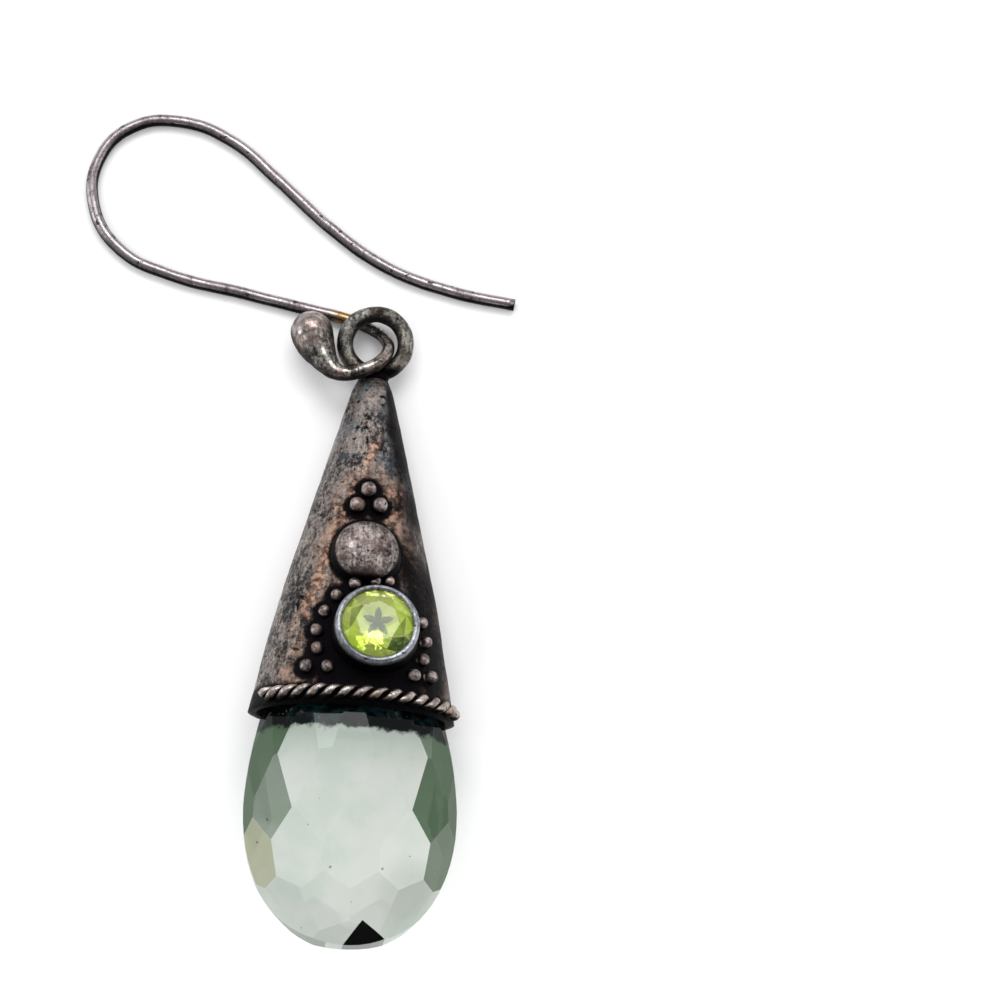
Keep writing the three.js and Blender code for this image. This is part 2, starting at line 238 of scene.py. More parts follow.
def add_piece(name, shape, place, materials, soot_and_shade=None, halo=None, smooth=True):
    """Writes the shape to a new piece in the row's frame, with its masks of black (oxide and painted
    shade) and copper.

    The rule for a mask takes a point of the shape and the normal there.
    """
    data = bpy.data.meshes.new(name)
    shape.to_mesh(data)
    shape.free()
    for mask, rule in (("soot_and_shade", soot_and_shade), ("halo", halo)):
        if rule:
            values = data.attributes.new(mask, "FLOAT", "POINT").data
            for vertex, value in zip(data.vertices, values):
                value.value = rule(vertex.co, vertex.normal)
    data.transform(place)
    for material in materials:
        data.materials.append(material)
    data.polygons.foreach_set("use_smooth", [smooth] * len(data.polygons))
    piece = bpy.data.objects.new(name, data)
    bpy.context.scene.collection.objects.link(piece)
    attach(piece, "root")
    return piece


def take_in(shape, part):
    """Adds the part to the shape."""
    holder = bpy.data.meshes.new("part")
    part.to_mesh(holder)
    part.free()
    shape.from_mesh(holder)
    bpy.data.meshes.remove(holder)


def oval_tube(end, steps, inset):
    """A tube of oval sections from the rim up to one end, drawn in by the wall."""
    tube = bmesh.new()
    bmesh.ops.create_cone(tube, segments=168, radius1=1, radius2=1, depth=1, cap_ends=False)
    uprights = [e for e in tube.edges if abs(e.verts[0].co.z - e.verts[1].co.z) > 0.5]
    bmesh.ops.subdivide_edges(tube, edges=uprights, cuts=steps, use_grid_fill=False)
    for vertex in tube.verts:
        x, y, along = vertex.co.x, vertex.co.y, (vertex.co.z + 0.5) * end
        half_width, half_depth = cap_section(along)
        depth = (half_depth - inset) * abs(y) ** (2 * cap_lens)
        vertex.co = ((half_width - inset) * x, along, math.copysign(depth, y))
    if not inset:
        bmesh.ops.reverse_faces(tube, faces=tube.faces)
    return tube


shape = oval_tube(cap_sections[-1][0], 110, 0)
take_in(shape, oval_tube(cavity_end, 24, cap_wall))
ends = [e for e in shape.edges if e.is_boundary]
bmesh.ops.bridge_loops(shape, edges=[e for e in ends if e.verts[0].co.y < 0.01])
bmesh.ops.holes_fill(shape, edges=[e for e in ends if e.verts[0].co.y > 0.01], sides=0)
for vertex in shape.verts:
    dent = noise.noise(vertex.co * 0.33 + Vector((3, 1, 7))) * dent_height
    ripple = noise.noise(vertex.co * 1.1) * ripple_height
    side = Vector((vertex.co.x, 0, vertex.co.z))
    if side.length > 1e-3:
        vertex.co += side.normalized() * (dent + ripple)

# the wall is pierced under the peridot
drill = bmesh.new()
bmesh.ops.create_cone(
    drill, segments=48, radius1=drill_radius, radius2=drill_radius, depth=drill_depth, cap_ends=True
)
bmesh.ops.transform(
    drill, matrix=stand_on_cap(bezel_along, bezel_across, bezel_lean), verts=drill.verts
)


def cut_away(shape, tool):
    """The shape less the tool."""
    block = bpy.data.objects.new("block", bpy.data.meshes.new("block"))
    cutter = bpy.data.objects.new("cutter", bpy.data.meshes.new("cutter"))
    for holder, body in ((block, shape), (cutter, tool)):
        body.to_mesh(holder.data)
        body.free()
        bpy.context.scene.collection.objects.link(holder)
    cut = block.modifiers.new("cut", "BOOLEAN")
    cut.operation, cut.object, cut.solver = "DIFFERENCE", cutter, "EXACT"
    result = bmesh.new()
    evaluated = block.evaluated_get(bpy.context.evaluated_depsgraph_get())
    result.from_mesh(evaluated.to_mesh())
    evaluated.to_mesh_clear()
    for holder in (block, cutter):
        data = holder.data
        bpy.data.objects.remove(holder)
        bpy.data.meshes.remove(data)
    return result


shape = cut_away(shape, drill)

granule_feet = [(on_cap(along, across), radius) for along, across, radius in granules]
dome_foot = on_cap(dome_along, dome_across)
bezel_foot = on_cap(bezel_along, bezel_across)


def inside_cap(p):
    """Whether a point is on the inner wall."""
    half_width, half_depth = cap_section(p.y)
    share = min(1, abs(p.x) / (half_width - cap_wall / 2))
    return abs(p.z) < (half_depth - cap_wall / 2) * (1 - share * share) ** cap_lens


def cap_soot_and_shade(p, normal):
    """Painted shade inside, along the rim, under the twisted wire, below the bezel and on the right
    side, with black oxide round what is soldered on.
    """
    # painted shade: the inner wall is black
    if p.y < cavity_end + 0.5 and inside_cap(p):
        return 1.0
    # painted shade under the twisted wire
    under_rope = fade(p.y, 1.0, 1.7) * fade(-p.z, -0.6, 0.6)
    # on the back: painted shade under the twisted wire, and darker along the rim
    if p.z < 0:
        return max(under_rope, 0.45 * fade(p.y, 0.1, 1.0))
    flat = Vector((p.x, p.y))
    # painted shade along the rim edge, then black oxide round what is soldered on
    black = max(under_rope, fade(p.y, 0.15, 0.5))
    black = max(black, fade((flat - bezel_foot.xy).length - bezel_radius, 0.1, 1.5))
    black = max(black, 0.95 * fade((flat - dome_foot.xy).length - dome_radius, 0.1, 0.8))
    for foot, radius in granule_feet:
        black = max(black, fade((flat - foot.xy).length - radius, 0.08, 0.75))
    # painted shade in the strip below the bezel
    below = fade(abs(p.x - 0.8), 2.4, 4.6) * fade(p.y, 2.6, 4.2)
    # painted shade that darkens the right side of the cone, unevenly
    share = p.x / cap_section(p.y)[0]
    drift = noise.noise(Vector((p.x * 0.9, p.y * 0.3, 4)))
    right_side = (0.62 + 0.45 * drift) * (1 - fade(share + 0.25 * drift, 0.3, 0.72))
    return min(1, max(black, below, right_side))


def cap_halo(p, normal):
    """Coppery places left between the black hollows and the worn sides."""
    if p.z < 0:
        return 0.0
    flat = Vector((p.x, p.y))
    reach = min(
        (flat - dome_foot.xy).length - dome_radius,
        (flat - bezel_foot.xy).length - bezel_radius - 0.9,
        min((flat - foot.xy).length - radius for foot, radius in granule_feet),
    )
    ring = fade(abs(reach - 0.9), 0.1, 0.7) * (0.5 if p.x > 1.6 else 1.0)
    left_trail = fade(abs(p.x + 5.3 - 0.3 * p.y), 0.1, 0.75) * fade(abs(p.y - 10.2), 4.2, 6)
    crown = fade(abs(p.x - 0.15 - 0.22 * (p.y - 17.4)), 0.15, 0.5) * fade(abs(p.y - 17), 1, 2.2)
    right_patch = 0.8 * fade(abs(p.x - 1.8), 0.3, 0.9) * fade(abs(p.y - 13.6), 1.2, 2.8)
    return min(1, max(0.6 * ring, left_trail, crown, right_patch))


# the way that blackened silver is worn, for every silver piece; its input mask darkens it with oxide
# and with painted shade alike
tarnish = bpy.data.node_groups.new("tarnished_silver", "ShaderNodeTree")
for name, kind in (
    ("Vector", "NodeSocketVector"), ("Highs", "NodeSocketColor"), ("Lows", "NodeSocketColor"),
    ("Stain", "NodeSocketColor"), ("Stain Share", "NodeSocketFloat"),
    ("Wear", "NodeSocketFloat"), ("Soot And Shade", "NodeSocketFloat"), ("Patches", "NodeSocketFloat"),
):
    tarnish.interface.new_socket(name, in_out="INPUT", socket_type=kind)
for name, kind in (
    ("Colour", "NodeSocketColor"), ("Roughness", "NodeSocketFloat"), ("Height", "NodeSocketFloat"),
    ("Black", "NodeSocketFloat"),
):
    tarnish.interface.new_socket(name, in_out="OUTPUT", socket_type=kind)


def maths(tree, operation, a, b=0.0, c=0.0):
    return add_node(tree, "ShaderNodeMath", {0: a, 1: b, 2: c}, operation=operation).outputs[0]


def spread(tree, value, low, high, to_low=0.0, to_high=1.0):
    return add_node(tree, "ShaderNodeMapRange", {
        "Value": value, "From Min": low, "From Max": high, "To Min": to_low, "To Max": to_high,
    }, interpolation_type="SMOOTHSTEP").outputs["Result"]


def blend(tree, factor, a, b):
    return add_node(tree, "ShaderNodeMix", {0: factor, 6: a, 7: b}, data_type="RGBA").outputs[2]


def cloud(tree, vector, scale, detail=5.0, roughness=0.62):
    return add_node(tree, "ShaderNodeTexNoise", {
        "Vector": vector, "Scale": scale, "Detail": detail, "Roughness": roughness,
    }).outputs["Fac"]


given = add_node(tarnish, "NodeGroupInput").outputs
blotches = cloud(tarnish, given["Vector"], given["Patches"], 6.0)
grain = cloud(tarnish, given["Vector"], 4.6, 7.0, 0.72)
drawn = add_node(tarnish, "ShaderNodeVectorMath", {
    0: given["Vector"], 1: (2.6, 0.42, 2.6),
}, operation="MULTIPLY").outputs["Vector"]
streaks = cloud(tarnish, drawn, 1.5, 6.0, 0.7)
field = maths(tarnish, "MULTIPLY_ADD", blotches, 0.36, maths(
    tarnish, "MULTIPLY_ADD", grain, 0.36, maths(tarnish, "MULTIPLY", streaks, 0.28)))
level = maths(tarnish, "SUBTRACT", field, maths(tarnish, "MULTIPLY", given["Soot And Shade"], 0.10))
worn = spread(tarnish, maths(tarnish, "ADD", level, given["Wear"]), 0.44, 0.62)
stained = maths(tarnish, "MULTIPLY", given["Stain Share"], spread(
    tarnish, cloud(tarnish, given["Vector"], 0.55, 5.0, 0.66), 0.42, 0.62))
colour = blend(tarnish, worn, given["Lows"], given["Highs"])
colour = blend(tarnish, stained, colour, given["Stain"])
pits = spread(tarnish, cloud(tarnish, given["Vector"], 2.1, 3.0, 0.5), 0.63, 0.69)
black = maths(tarnish, "MAXIMUM", maths(tarnish, "MULTIPLY", pits, 0.8), spread(
    tarnish, maths(tarnish, "MULTIPLY_ADD", given["Soot And Shade"], 1.35, maths(
        tarnish, "MULTIPLY_ADD", grain, 1.3, -0.85)), 0.2, 0.85))
colour = blend(tarnish, black, colour, (0.006, 0.005, 0.006, 1))
rough = maths(tarnish, "MULTIPLY_ADD", worn, -0.2, maths(
    tarnish, "MULTIPLY_ADD", black, 0.16, 0.46))
height = maths(tarnish, "MULTIPLY_ADD", pits, -0.5, maths(
    tarnish, "MULTIPLY_ADD", grain, 0.8, maths(tarnish, "MULTIPLY", streaks, 0.4)))
add_node(tarnish, "NodeGroupOutput", {
    "Colour": colour, "Roughness": rough, "Height": height, "Black": black,
})

drop_euler = drop_turn.to_euler("XYZ")


def drop_coordinates(tree):
    """Millimetres along, across and up the drop, from the middle of the rim."""
    place = add_node(tree, "ShaderNodeTexCoord").outputs["Object"]
    return add_node(tree, "ShaderNodeMapping", {
        "Vector": place, "Location": rim_middle, "Rotation": drop_euler, "Scale": (MM, MM, MM),
    }, vector_type="TEXTURE").outputs["Vector"]


def mask(tree, name):
    return add_node(tree, "ShaderNodeAttribute", attribute_name=name).outputs["Fac"]


def silver(name, coordinates, highs, lows, stain, stain_share, wear, patches, relief, soot_and_shade=None):
    """A blackened silver with its own tones. The mask that blackens it, for oxide and for painted
    shade, comes from the piece.
    """
    material, tree = new_material(name)
    surface = add_node(tree, "ShaderNodeGroup", node_tree=tarnish)
    tree.links.new(coordinates(tree), surface.inputs["Vector"])
    surface.inputs["Highs"].default_value = (*highs, 1)
    surface.inputs["Lows"].default_value = (*lows, 1)
    surface.inputs["Stain"].default_value = (*stain, 1)
    surface.inputs["Stain Share"].default_value = stain_share
    surface.inputs["Wear"].default_value = wear
    surface.inputs["Patches"].default_value = patches
    if soot_and_shade:
        tree.links.new(mask(tree, soot_and_shade), surface.inputs["Soot And Shade"])
    bump = add_node(tree, "ShaderNodeBump", {
        "Height": surface.outputs["Height"], "Distance": relief * MM, "Strength": 0.8,
    })
    skin = add_node(tree, "ShaderNodeBsdfPrincipled", {
        "Base Color": surface.outputs["Colour"], "Roughness": surface.outputs["Roughness"],
        "Normal": bump.outputs["Normal"], "Metallic": 1.0,
    })
    add_node(tree, "ShaderNodeOutputMaterial", {"Surface": skin.outputs["BSDF"]})
    return material, tree, surface, skin


cap_silver, tree, surface, skin = silver(
    "blackened_cone", drop_coordinates, (0.60, 0.535, 0.485), (0.022, 0.020, 0.021),
    (0.095, 0.062, 0.050), 0.45, 0.0, 0.55, 0.10, "soot_and_shade",
)
where = drop_coordinates(tree)
copper = maths(tree, "MULTIPLY", mask(tree, "halo"), spread(
    tree, cloud(tree, where, 1.3, 6.0, 0.7), 0.36, 0.56))
copper_tone = blend(tree, spread(tree, cloud(tree, where, 2.6), 0.42, 0.62),
                    (0.14, 0.065, 0.042, 1), (0.58, 0.37, 0.26, 1))
height_on_cone = add_node(tree, "ShaderNodeSeparateXYZ", {"Vector": where}).outputs["Y"]
blue = maths(tree, "MULTIPLY", spread(tree, height_on_cone, 13.5, 17.5), spread(
    tree, cloud(tree, where, 0.8, 5.0, 0.6), 0.48, 0.62))
tone = blend(tree, maths(tree, "MULTIPLY", blue, 0.5), surface.outputs["Colour"],
             (0.085, 0.12, 0.14, 1))
tone = blend(tree, maths(tree, "MULTIPLY", copper, 0.9), tone, copper_tone)
tone = blend(tree, surface.outputs["Black"], tone, (0.006, 0.005, 0.006, 1))
tree.links.new(tone, skin.inputs["Base Color"])

cap_shell = add_piece("cap_shell", shape, drop_place, [cap_silver], cap_soot_and_shade, cap_halo)
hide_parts("cap")


# ---- eye ring ----------------------------------------------------------------------------
# A closed ring of round wire, soldered to the point of the cone with a little puddle of
# silver. It lies flat on the table, and the hook's loop runs through it.

ring_radius, ring_wire, ring_along = 2.03, 0.55, 25.8


def spun(profile, steps, closed=False):
    """A shape turned round +Z from (radius, height) points."""
    shape = bmesh.new()
    corners = [shape.verts.new((radius, 0, height)) for radius, height in profile]
    edges = [shape.edges.new(pair) for pair in zip(corners, corners[1:])]
    if closed:
        edges.append(shape.edges.new((corners[-1], corners[0])))
    bmesh.ops.spin(
        shape, geom=corners + edges, cent=(0, 0, 0), axis=(0, 0, 1), dvec=(0, 0, 0),
        angle=2 * math.pi, steps=steps, use_merge=True, use_duplicate=False,
    )
    bmesh.ops.remove_doubles(shape, verts=shape.verts, dist=1e-4)
    bmesh.ops.recalc_face_normals(shape, faces=shape.faces)
    return shape


def round_profile(middle, height, radius, count):
    turns = [2 * math.pi * i / count for i in range(count)]
    return [(middle + radius * math.cos(t), height + radius * math.sin(t)) for t in turns]


def roughen(shape, amount, size, shift=0.0):
    """Hand-made unevenness, in and out along the normals."""
    shape.normal_update()
    for vertex in shape.verts:
        wobble = noise.noise(vertex.co / size + Vector((shift, 2, 5)))
        vertex.co += vertex.normal * (wobble * amount)


shape = spun(round_profile(ring_radius, 0, ring_wire, 28), 96, closed=True)
level = Matrix.Rotation(math.radians(-drop_roll), 4, "Y")
level = level @ Matrix.Rotation(math.radians(-drop_tilt), 4, "X")
bmesh.ops.transform(shape, matrix=level, verts=shape.verts)
bmesh.ops.translate(shape, vec=(0, ring_along, 0.05), verts=shape.verts)
puddle = bmesh.ops.create_uvsphere(shape, u_segments=40, v_segments=24, radius=1)["verts"]
bmesh.ops.scale(shape, vec=(1.06, 0.62, 0.62), verts=puddle)
bmesh.ops.translate(shape, vec=(0, 23.42, 0.02), verts=puddle)
roughen(shape, 0.05, 0.9)


def ring_soot_and_shade(p, normal):
    # black at the solder puddle, and painted shade on the inner side of the ring
    from_middle = Vector((p.x, p.y - ring_along)).length
    return max(fade(p.y, 23.5, 24.6), 0.55 * fade(from_middle, ring_radius - 0.5, ring_radius - 0.1))


ring_silver = silver(
    "mottled_ring", drop_coordinates, (0.50, 0.48, 0.43), (0.035, 0.033, 0.028),
    (0.14, 0.10, 0.07), 0.4, 0.01, 0.8, 0.09, "soot_and_shade",
)[0]
eye_ring = add_piece("eye_ring", shape, drop_place, [ring_silver], ring_soot_and_shade)
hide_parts("cap")


# ---- domed button ------------------------------------------------------------------------
# A flattened ball of silver on a low upright side, soldered on above the peridot. Its top
# is rubbed to a mottled pinkish grey, its side is black, and painted shade darkens its lower edge.

dome_height, dome_side = 1.15, 0.45
profile = [(2.30, -0.35), (2.16, 0.02), (2.07, 0.12)]
for step in range(15):
    turn = math.radians(90 * step / 14)
    rise = dome_side + (dome_height - dome_side) * math.sin(turn)
    profile.append((dome_radius * max(0, math.cos(turn)) ** 0.6, rise))
profile[-1] = (0, dome_height)
shape = spun(profile, 72)
roughen(shape, 0.05, 1.1, 4)
dome_stand = stand_on_cap(dome_along, dome_across)
dome_outward = dome_stand.to_3x3() @ Vector((0, 0, 1))
bmesh.ops.transform(shape, matrix=dome_stand, verts=shape.verts)


def dome_soot_and_shade(p, normal):
    rise = (p - dome_foot).dot(dome_outward)
    # painted shade along the lower edge
    lower_edge = fade((p - dome_foot).y, -1.95, -1.2)
    return min(1, max(fade(rise, 0.35, 0.75), 0.85 * lower_edge))


button_silver = silver(
    "rubbed_button", drop_coordinates, (0.52, 0.455, 0.42), (0.05, 0.04, 0.04),
    (0.17, 0.115, 0.10), 0.45, 0.01, 0.9, 0.07, "soot_and_shade",
)[0]
dome = add_piece("domed_button", shape, drop_place, [button_silver], dome_soot_and_shade)
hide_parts("cap")


# ---- granules ----------------------------------------------------------------------------
# Small balls of melted silver, soldered on in a group of three above the dome and in rows
# beside the bezel. The tops are worn bright and their feet are black.

shape = bmesh.new()
for number, (along, across, radius) in enumerate(granules):
    profile = [(radius * 1.3, -0.15), (radius * 1.1, 0.02)]
    for step in range(10):
        turn = math.radians(-15 + 105 * step / 9)
        profile.append((radius * math.cos(turn), radius * (0.35 + math.sin(turn))))
    profile[-1] = (0, profile[-1][1])
    grain = spun(profile, 28)
    roughen(grain, 0.05, 0.45, number)
    bmesh.ops.transform(grain, matrix=stand_on_cap(along, across), verts=grain.verts)
    take_in(shape, grain)


def granule_soot(p, normal):
    foot, radius = min(granule_feet, key=lambda one: (one[0] - p).length)
    return fade(p.z - foot.z, radius * 0.35, radius * 1.05)


granule_silver = silver(
    "worn_granules", drop_coordinates, (0.60, 0.52, 0.50), (0.08, 0.06, 0.055),
    (0.30, 0.18, 0.14), 0.4, 0.02, 1.9, 0.07, "soot_and_shade",
)[0]
grains = add_piece("granules", shape, drop_place, [granule_silver], granule_soot)
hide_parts("cap")


# ---- bezel -------------------------------------------------------------------------------
# A collar of sheet silver with a conical seat inside it, soldered on and rubbed over the
# edge of the peridot. The rolled lip is bright and the outside is black.

window_radius = 2.28
profile = [
    (2.84, -0.80), (2.79, -0.1), (2.75, 0.3), (2.72, 0.9), (2.70, 1.38),
    (2.67, 1.53), (2.61, 1.64), (2.52, 1.69), (2.42, 1.68), (2.33, 1.63), (window_radius, 1.56),
    (2.30, 1.50), (2.52, 1.45), (2.52, 1.10), (0.55, -0.44), (0.55, -0.80),
]
shape = spun(profile, 112, closed=True)
roughen(shape, 0.035, 1.3, 9)
bezel_stand = stand_on_cap(bezel_along, bezel_across, bezel_lean)
bezel_outward = bezel_stand.to_3x3() @ Vector((0, 0, 1))
bmesh.ops.transform(shape, matrix=bezel_stand, verts=shape.verts)


def bezel_soot(p, normal):
    rise = (p - bezel_foot).dot(bezel_outward)
    out = ((p - bezel_foot) - bezel_outward * rise).length
    if out < window_radius - 0.02 or (out < bezel_radius - 0.14 and rise < 1.5):
        return 0.0
    return fade(rise, 0.9, 1.5)


bezel_silver = silver(
    "bezel_silver", drop_coordinates, (0.52, 0.54, 0.58), (0.12, 0.125, 0.14),
    (0.24, 0.25, 0.28), 0.5, 0.03, 0.8, 0.05, "soot_and_shade",
)[0]
bezel = add_piece("bezel", shape, drop_place, [bezel_silver], bezel_soot)
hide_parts("cap")


# ---- twisted wire round the rim ----------------------------------------------------------
# Two thin wires twisted together and soldered along the front edge of the cone. The turns
# slant up to the right, worn bright on top and black between, with painted shade on the side
# towards the rim.

rope_along, rope_lay, strand_radius = 0.68, 1.95, 0.26
rope_from, rope_to = 151, 2  # degrees round the rim, 180 is the left side
rope_stand, rope_steps = 0.15, 900
strand_stops = 22  # in each turn


def rope_middle(angle):
    half_width, half_depth = cap_section(rope_along)
    depth = (half_depth + rope_stand) * math.sin(angle) ** (2 * cap_lens)
    return Vector((half_width * math.cos(angle), rope_along, depth))


def swept_wire(name, routes, sides=4, smooth=True):
    """A mesh of round wires along routes of (point, radius)."""
    curve = bpy.data.curves.new(name, "CURVE")
    curve.dimensions = "3D"
    curve.bevel_depth = 1
    curve.bevel_resolution = sides
    curve.resolution_u = 10
    curve.use_fill_caps = True
    for route in routes:
        line = curve.splines.new("BEZIER" if smooth else "POLY")
        points = line.bezier_points if smooth else line.points
        points.add(len(route) - 1)
        for point, (place, radius) in zip(points, route):
            if smooth:
                point.co = place
                point.handle_left_type = point.handle_right_type = "AUTO"
            else:
                point.co = (*place, 1)
            point.radius = radius
        if smooth:
            line.radius_interpolation = "CARDINAL"
    holder = bpy.data.objects.new(name, curve)
    bpy.context.scene.collection.objects.link(holder)
    data = bpy.data.meshes.new_from_object(
        holder, depsgraph=bpy.context.evaluated_depsgraph_get()
    )
    shape = bmesh.new()
    shape.from_mesh(data)
    bpy.data.objects.remove(holder)
    bpy.data.curves.remove(curve)
    bpy.data.meshes.remove(data)
    bmesh.ops.remove_doubles(shape, verts=shape.verts, dist=1e-4)
    return shape


def rope_strands():
    """The two strands, each wound round the middle of the rope."""
    sweep = rope_from - rope_to
    turns = [math.radians(rope_from - sweep * i / rope_steps) for i in range(rope_steps + 1)]
    stops = [rope_middle(turn) for turn in turns]
    length, strands = 0.0, [[], []]
    for before, here in zip(stops, stops[1:]):
        length += (here - before).length
        ahead = (here - before).normalized()
        outward = ahead.cross(Vector((0, 1, 0))).normalized()
        for number, strand in enumerate(strands):
            turn = 2 * math.pi * length / rope_lay + math.pi * number
            if strand and length - strand[-1][2] < rope_lay / strand_stops:
                continue
            side = outward * math.cos(turn) + Vector((0, 1, 0)) * math.sin(turn)
            strand.append((here + side * strand_radius * 0.94, strand_radius, length))
    return [[(place, radius) for place, radius, _ in strand] for strand in strands]


shape = swept_wire("rope", rope_strands(), sides=5, smooth=False)
roughen(shape, 0.045, 0.5, 6)


def rope_soot_and_shade(p, normal):
    half_width, half_depth = cap_section(rope_along)
    angle = math.acos(max(-1, min(1, p.x / half_width)))
    out = (p - rope_middle(angle))
    # painted shade on the side of the wire towards the rim; black oxide between the turns
    below = fade(out.y, -0.42, -0.05)
    return max(fade(out.length, 0.30, 0.50), 0.8 * below)


rope_silver = silver(
    "twisted_wire_silver", drop_coordinates, (0.68, 0.61, 0.57), (0.13, 0.10, 0.085),
    (0.33, 0.23, 0.16), 0.45, 0.05, 1.4, 0.05, "soot_and_shade",
)[0]
rope = add_piece("rim_rope", shape, drop_place, [rope_silver], rope_soot_and_shade)
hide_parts("cap")


# ---- peridot -----------------------------------------------------------------------------
# A round brilliant of lime green peridot, 4.8 mm across, held in the bezel. Its facets are
# flat with edges that are only just blunted; painted shade darkens some of them, and a dark
# five-pointed reflection is painted in the middle.


def cut_gem(node, edge, facet_rule=None):
    """The facets of a cut stone, with each edge blunted."""
    shape = bmesh.new()
    shape.from_mesh(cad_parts[node].data)
    bmesh.ops.remove_doubles(shape, verts=shape.verts, dist=2e-6)
    bmesh.ops.dissolve_limit(
        shape, angle_limit=math.radians(0.8), verts=shape.verts, edges=shape.edges
    )
    # each facet gets its share of painted shade and of olive
    if facet_rule:
        shape.normal_update()
        depth = shape.faces.layers.float.new("facet_shade")
        olive = shape.faces.layers.float.new("facet_olive")
        for face in shape.faces:
            middle = drop_place.inverted() @ face.calc_center_median()
            normal = drop_turn.to_3x3().inverted() @ face.normal
            face[depth], face[olive] = facet_rule(middle, normal)
    bmesh.ops.bevel(
        shape, geom=list(shape.edges), offset=edge * MM, offset_type="OFFSET", segments=1,
        profile=0.5, affect="EDGES", material=-1, clamp_overlap=True,
    )
    bmesh.ops.recalc_face_normals(shape, faces=shape.faces)
    return shape


def clear_stone(name, shade_rule, index, roughness, shadow, cloudiness, shine):
    """Clear stone that lets the lamps through, so that what is under it is lit."""
    material, tree = new_material(name)
    glass = add_node(tree, "ShaderNodeBsdfPrincipled", {
        "Base Color": shade_rule(tree, drop_coordinates(tree)), "Roughness": roughness,
        "IOR": index, "Transmission Weight": 1.0 - cloudiness, "Specular IOR Level": shine,
    })
    lit = add_node(tree, "ShaderNodeBsdfTransparent", {"Color": (*shadow, 1)})
    path = add_node(tree, "ShaderNodeLightPath")
    both = add_node(tree, "ShaderNodeMixShader", {
        0: path.outputs["Is Shadow Ray"], 1: glass.outputs["BSDF"], 2: lit.outputs["BSDF"],
    })
    add_node(tree, "ShaderNodeOutputMaterial", {"Surface": both.outputs["Shader"]})
    return material


peridot_middle = bezel_foot + bezel_outward * 1.5
reflection_star_points, reflection_star_turn, reflection_star_heart, reflection_star_spread = 5, 0.3, 0.32, 1.15


def peridot_facet(middle, normal):
    """How much painted shade deepens a facet's green: it changes from facet to facet, most at the
    lower right.
    """
    out = (middle - peridot_middle).xy
    chance = fade(noise.noise(middle * 2.3), -0.35, 0.1)
    dark_side = fade((out - Vector((1.45, -1.35))).length, 0.3, 0.8)
    return max(0.65 * chance if out.length > 1.2 else 0.0, dark_side), 0.0


def peridot_shade(tree, place):
    """Lime, with facets darkened by painted shade and a dark five-pointed reflection painted in the
    middle.
    """
    veil = spread(tree, cloud(tree, place, 0.7, 3.0, 0.5), 0.38, 0.62)
    shade = blend(tree, veil, (0.70, 0.92, 0.08, 1), (0.93, 0.98, 0.34, 1))
    shade = blend(tree, mask(tree, "facet_shade"), shade, (0.04, 0.08, 0.01, 1))
    # a painted reflection: a dark five-pointed figure round the middle of the stone
    out = add_node(tree, "ShaderNodeVectorMath", {0: place, 1: peridot_middle},
                   operation="SUBTRACT").outputs["Vector"]
    flat = add_node(tree, "ShaderNodeVectorMath", {0: out, 1: (1, 1, 0)},
                    operation="MULTIPLY").outputs["Vector"]
    away = add_node(tree, "ShaderNodeVectorMath", {0: flat}, operation="LENGTH").outputs["Value"]
    axes = add_node(tree, "ShaderNodeSeparateXYZ", {"Vector": out}).outputs
    heading = maths(tree, "ARCTAN2", axes["Y"], axes["X"])
    point = maths(tree, "PINGPONG", maths(tree, "ADD", heading, reflection_star_turn), math.pi / reflection_star_points)
    reach = maths(tree, "MULTIPLY_ADD", point, reflection_star_spread, reflection_star_heart)
    star_reflection = spread(tree, maths(tree, "SUBTRACT", reach, away), -0.05, 0.05)
    return blend(tree, maths(tree, "MULTIPLY", star_reflection, 0.9), shade, (0.11, 0.17, 0.08, 1))


peridot_glass = clear_stone(
    "lime_peridot", peridot_shade, 1.66, 0.0, (0.85, 0.95, 0.4), 0.25, 0.15
)
peridot = add_piece("peridot_cut", cut_gem("peridot", 0.02, peridot_facet), Matrix.Identity(4),
                    [peridot_glass], smooth=False)
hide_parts("peridot")


# ---- drop stone --------------------------------------------------------------------------
# A flat pear of pale green quartz, faceted all over in staggered rows and cemented into the
# cone. It is milky in front; painted shade deepens the green of the facets near the girdle and
# darkens the band next to the cone, and a painted black reflection lies at the tip.

dark_reflection_peak = Vector((1.46, -13.32, 0))  # across and along the drop
dark_reflection_slopes = [Vector((-1.60, 1.23, 0)), Vector((1.08, 1.72, 0))]  # square to its two edges


def quartz_facet(middle, normal):
    """How much painted shade deepens a facet's green, and how olive it is: pale in front, deeper
    beside the girdle, darkest on the girdle at the lower left.
    """
    if abs(normal.z) < 0.12:
        return (1.0 if normal.x < -0.1 and normal.y < -0.25 else 0.25), 0.0
    chance = abs(noise.noise(middle * 0.8 + Vector((4, 9, 2))))
    olive = 1.0 if middle.x < 0 and -10.5 < middle.y < -8.5 else 0.0
    depth = (1 - fade(abs(normal.x), 0.44, 0.6)) * fade(-middle.y, 8.5, 11)
    return min(1, depth * (0.8 + 1.0 * chance)), olive


